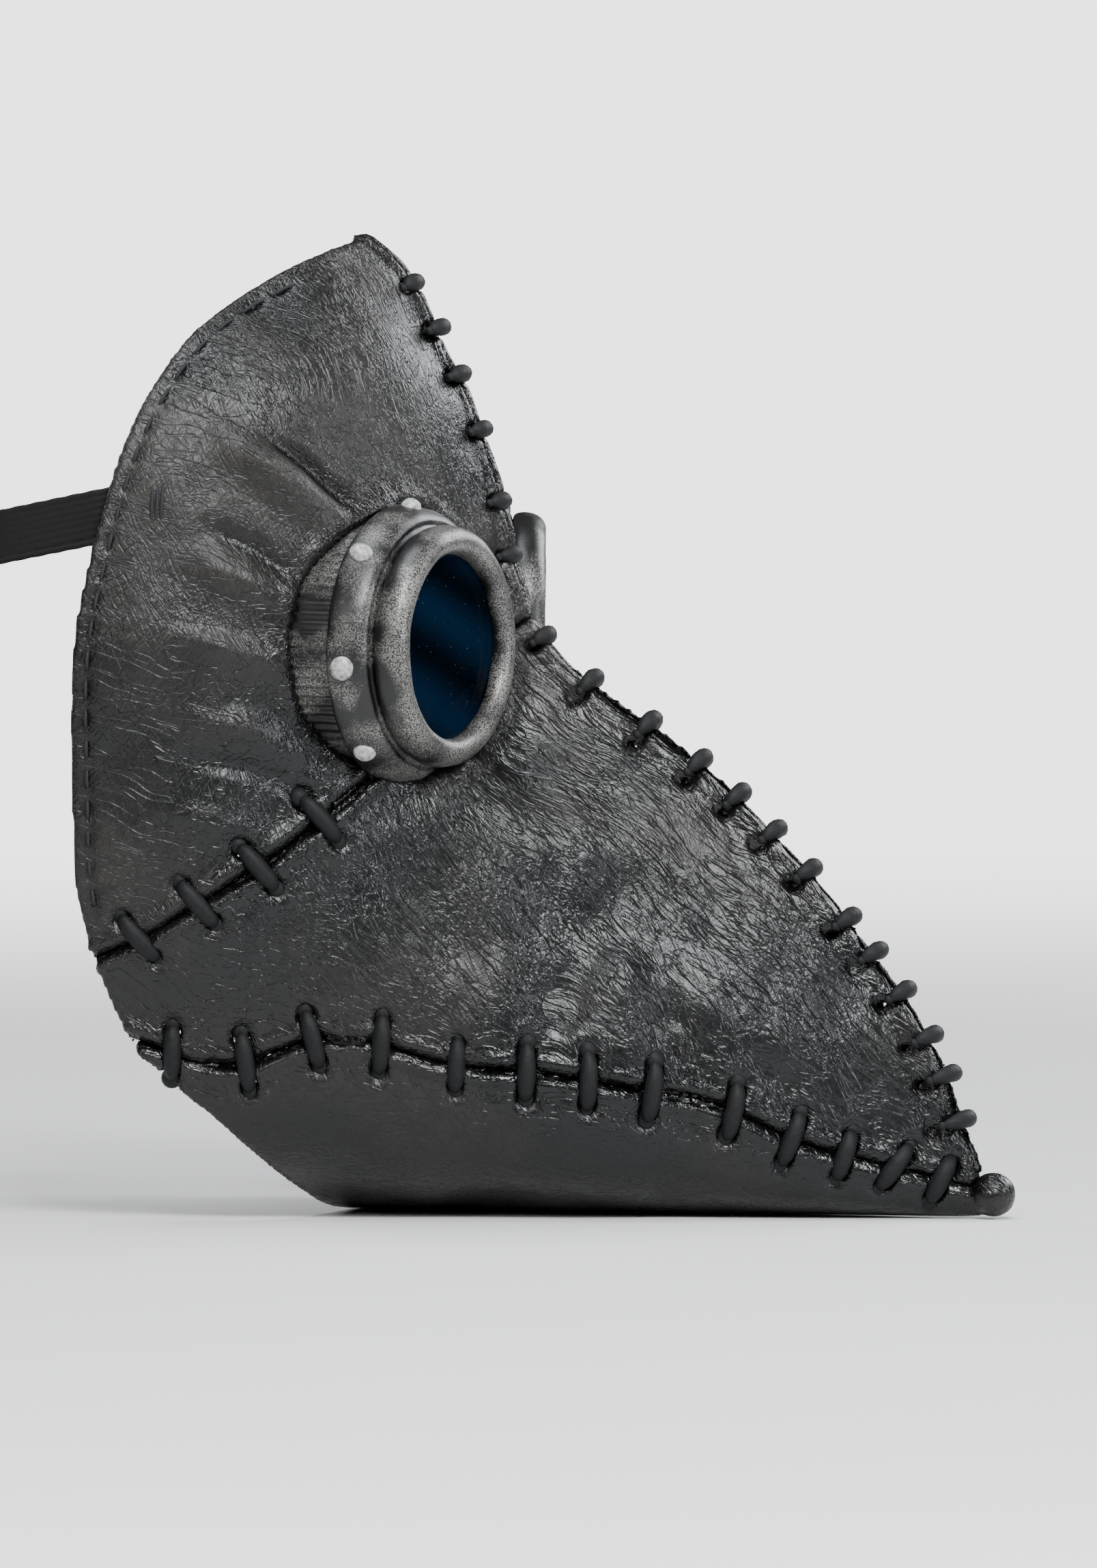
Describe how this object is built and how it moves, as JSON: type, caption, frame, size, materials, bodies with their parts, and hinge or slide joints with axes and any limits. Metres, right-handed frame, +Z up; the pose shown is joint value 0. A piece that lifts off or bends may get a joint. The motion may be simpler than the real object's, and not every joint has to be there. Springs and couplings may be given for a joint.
{
  "type": "plague doctor mask",
  "caption": "Long-beaked plague doctor mask with laced leather panels, riveted round goggles and an elastic head strap that swings on its sewn ends.",
  "frame": {"origin": "in the symmetry plane, at the height of the lens centres, level with the rearmost edge of the face opening", "axes": "+X forward along the beak, +Y to the wearer's left, +Z up"},
  "size_m": [0.3379, 0.1816, 0.2688],
  "materials": {
    "leather": "semi-gloss black leather, creased, with grey-brown rubbed patches",
    "lacing_cord": "matt waxed cord, dark grey",
    "goggle_metal": "black paint rubbed through to dull silver on the crests",
    "rivet_metal": "matt silver, slightly pitted",
    "lens": "polished, very dark blue",
    "elastic": "black knitted elastic, lengthwise ribs",
    "thread": "black sewing thread"
  },
  "bodies": {
    "mask": {"under_beak_panel": "leather", "brow_panel_right": "leather", "brow_panel_left": "leather", "beak_panel_right": "leather", "beak_panel_left": "leather", "ridge_stitches": "lacing_cord", "cheek_stitches_right": "lacing_cord", "cheek_stitches_left": "lacing_cord", "jaw_stitches_right": "lacing_cord", "jaw_stitches_left": "lacing_cord", "goggle_collar_right": "goggle_metal", "goggle_collar_left": "goggle_metal", "goggle_flange_right": "goggle_metal", "goggle_flange_left": "goggle_metal", "goggle_bezel_right": "goggle_metal", "goggle_bezel_left": "goggle_metal", "goggle_rivets_right": "rivet_metal", "goggle_rivets_left": "rivet_metal", "lens_right": "lens", "lens_left": "lens", "strap_tab_right": "elastic", "strap_tab_left": "elastic", "strap_tack_right": "thread", "strap_tack_left": "thread", "hem_thread_right": "thread", "hem_thread_left": "thread"},
    "strap": {"strap_band": "elastic"}
  },
  "joints": [
    {"name": "strap_swing", "type": "hinge", "parent": "mask", "child": "strap", "pos_m": [0.002, 0, 0.0366], "axis": [0, 1, 0], "range_deg": [-60, 50]}
  ]
}
